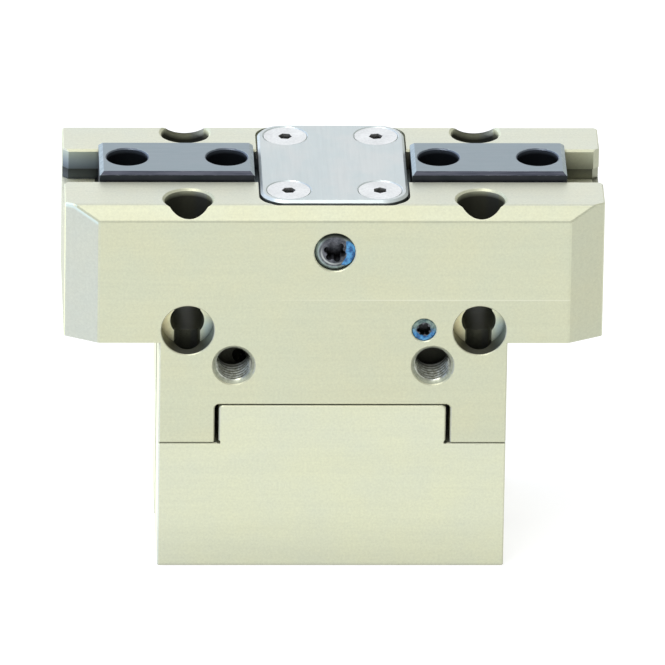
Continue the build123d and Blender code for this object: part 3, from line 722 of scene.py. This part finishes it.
closing_spring()
locker = threadlocker("threadlocker")
smear("purge_plug_threadlocker", PURGE_PLUG, PLUG_FACE, (1.35, 2.46), (-1.15, 0.85), locker)
smear("channel_plug_threadlocker", CHANNEL_PLUG, PLUG_FACE, (0.85, 1.47), (0.0, 2 * pi),
      threadlocker("channel_threadlocker", CHANNEL_PLUG[1]))


# ---- Floor, light and camera ------------------------------------------------------------------
def floor():
    """A wide white floor that is clear when it is seen from below."""
    mesh = bpy.data.meshes.new("studio_floor")
    reach = 6.0
    corners = [(-reach, -reach, 0), (reach, -reach, 0), (reach, reach, 0), (-reach, reach, 0)]
    mesh.from_pydata(corners, [], [(0, 1, 2, 3)])
    s = Shader("studio_floor")
    s.set(base_color=(0.4, 0.4, 0.4, 1.0), roughness=0.9, specular_ior_level=0.0,
          emission_color=(1.0, 1.0, 1.0, 1.0), emission_strength=0.74)
    clear = s.tree.nodes.new("ShaderNodeBsdfTransparent").outputs[0]
    back = s.tree.nodes.new("ShaderNodeNewGeometry").outputs["Backfacing"]
    switch = s.tree.nodes.new("ShaderNodeMixShader")
    for socket, value in zip(switch.inputs, (back, s.bsdf.outputs[0], clear)):
        s.put(socket, value)
    s.put(s.surface, switch.outputs[0])
    mesh.materials.append(s.material)
    plane = bpy.data.objects.new("studio_floor", mesh)
    plane.location = (0, 0, -0.05 * MM)  # clear of the part's underside
    scene.collection.objects.link(plane)


def area_light(name, place, target, size, energy, colour):
    data = bpy.data.lights.new(name, "AREA")
    data.shape = "RECTANGLE"
    data.size, data.size_y = size
    data.energy = energy
    data.color = colour
    lamp = bpy.data.objects.new(name, data)
    scene.collection.objects.link(lamp)
    lamp.location = place
    lamp.rotation_euler = (Vector(target) - Vector(place)).to_track_quat("-Z", "Y").to_euler()


def daylight():
    """A soft white room: brightest behind the part, cool on the left, dim on the right."""
    world = bpy.data.worlds.new("studio")
    scene.world = world
    world.use_nodes = True
    tree = world.node_tree
    place = tree.nodes.new("ShaderNodeTexCoord")
    split = tree.nodes.new("ShaderNodeSeparateXYZ")
    tree.links.new(place.outputs["Generated"], split.inputs[0])

    def ramp(axis, reach, colours):
        share = tree.nodes.new("ShaderNodeMapRange")
        share.inputs["From Min"].default_value = -reach
        share.inputs["From Max"].default_value = reach
        tree.links.new(split.outputs[axis], share.inputs["Value"])
        blend = tree.nodes.new("ShaderNodeValToRGB")
        stops = blend.color_ramp.elements
        stops[0].color = colours[0] + (1.0,)
        stops[-1].color = colours[-1] + (1.0,)
        for index, colour in enumerate(colours[1:-1], 1):
            stops.new(index / (len(colours) - 1)).color = colour + (1.0,)
        tree.links.new(share.outputs[0], blend.inputs[0])
        return blend.outputs[0]

    depth = ramp("Y", 0.8, ((0.62, 0.62, 0.62), (1.14, 1.17, 1.26)))
    width = ramp("X", 0.9, ((0.74, 0.86, 1.12), (1.0, 1.0, 1.0), (0.46, 0.46, 0.42)))
    product = tree.nodes.new("ShaderNodeMix")
    product.data_type = "RGBA"
    product.blend_type = "MULTIPLY"
    product.inputs["Factor"].default_value = 1.0
    tree.links.new(depth, product.inputs[6])
    tree.links.new(width, product.inputs[7])
    tree.links.new(product.outputs[2], tree.nodes["Background"].inputs["Color"])


def camera():
    """Two metres away, 24.6 degrees above the horizon, a little to the left of the middle."""
    turn, pitch, roll = 0.037, 0.430, 0.016
    distance = 2.0
    forward = Vector((sin(turn) * cos(pitch), cos(turn) * cos(pitch), -sin(pitch)))
    data = bpy.data.cameras.new("camera")
    data.sensor_width = 36.0
    data.lens = 892.0
    data.shift_x, data.shift_y = 0.0042, 0.0014
    data.clip_start, data.clip_end = 0.1, 20.0
    eye = bpy.data.objects.new("camera", data)
    scene.collection.objects.link(eye)
    eye.location = Vector((0, 0, 0.025)) - forward * distance
    upright = forward.to_track_quat("-Z", "Y").to_matrix()
    eye.rotation_euler = (upright @ Matrix.Rotation(roll, 3, "Z")).to_euler()
    scene.camera = eye


floor()
daylight()
area_light("key", (-0.5, -0.75, 1.5), (0, 0, 0.03), (0.8, 0.6), 8.5, (1.0, 0.985, 0.95))
area_light("left_rim", (-1.5, 0.5, 0.12), (0, 0, 0.03), (0.3, 0.16), 16, (0.92, 0.97, 1.0))
camera()
scene.view_settings.view_transform = "Standard"
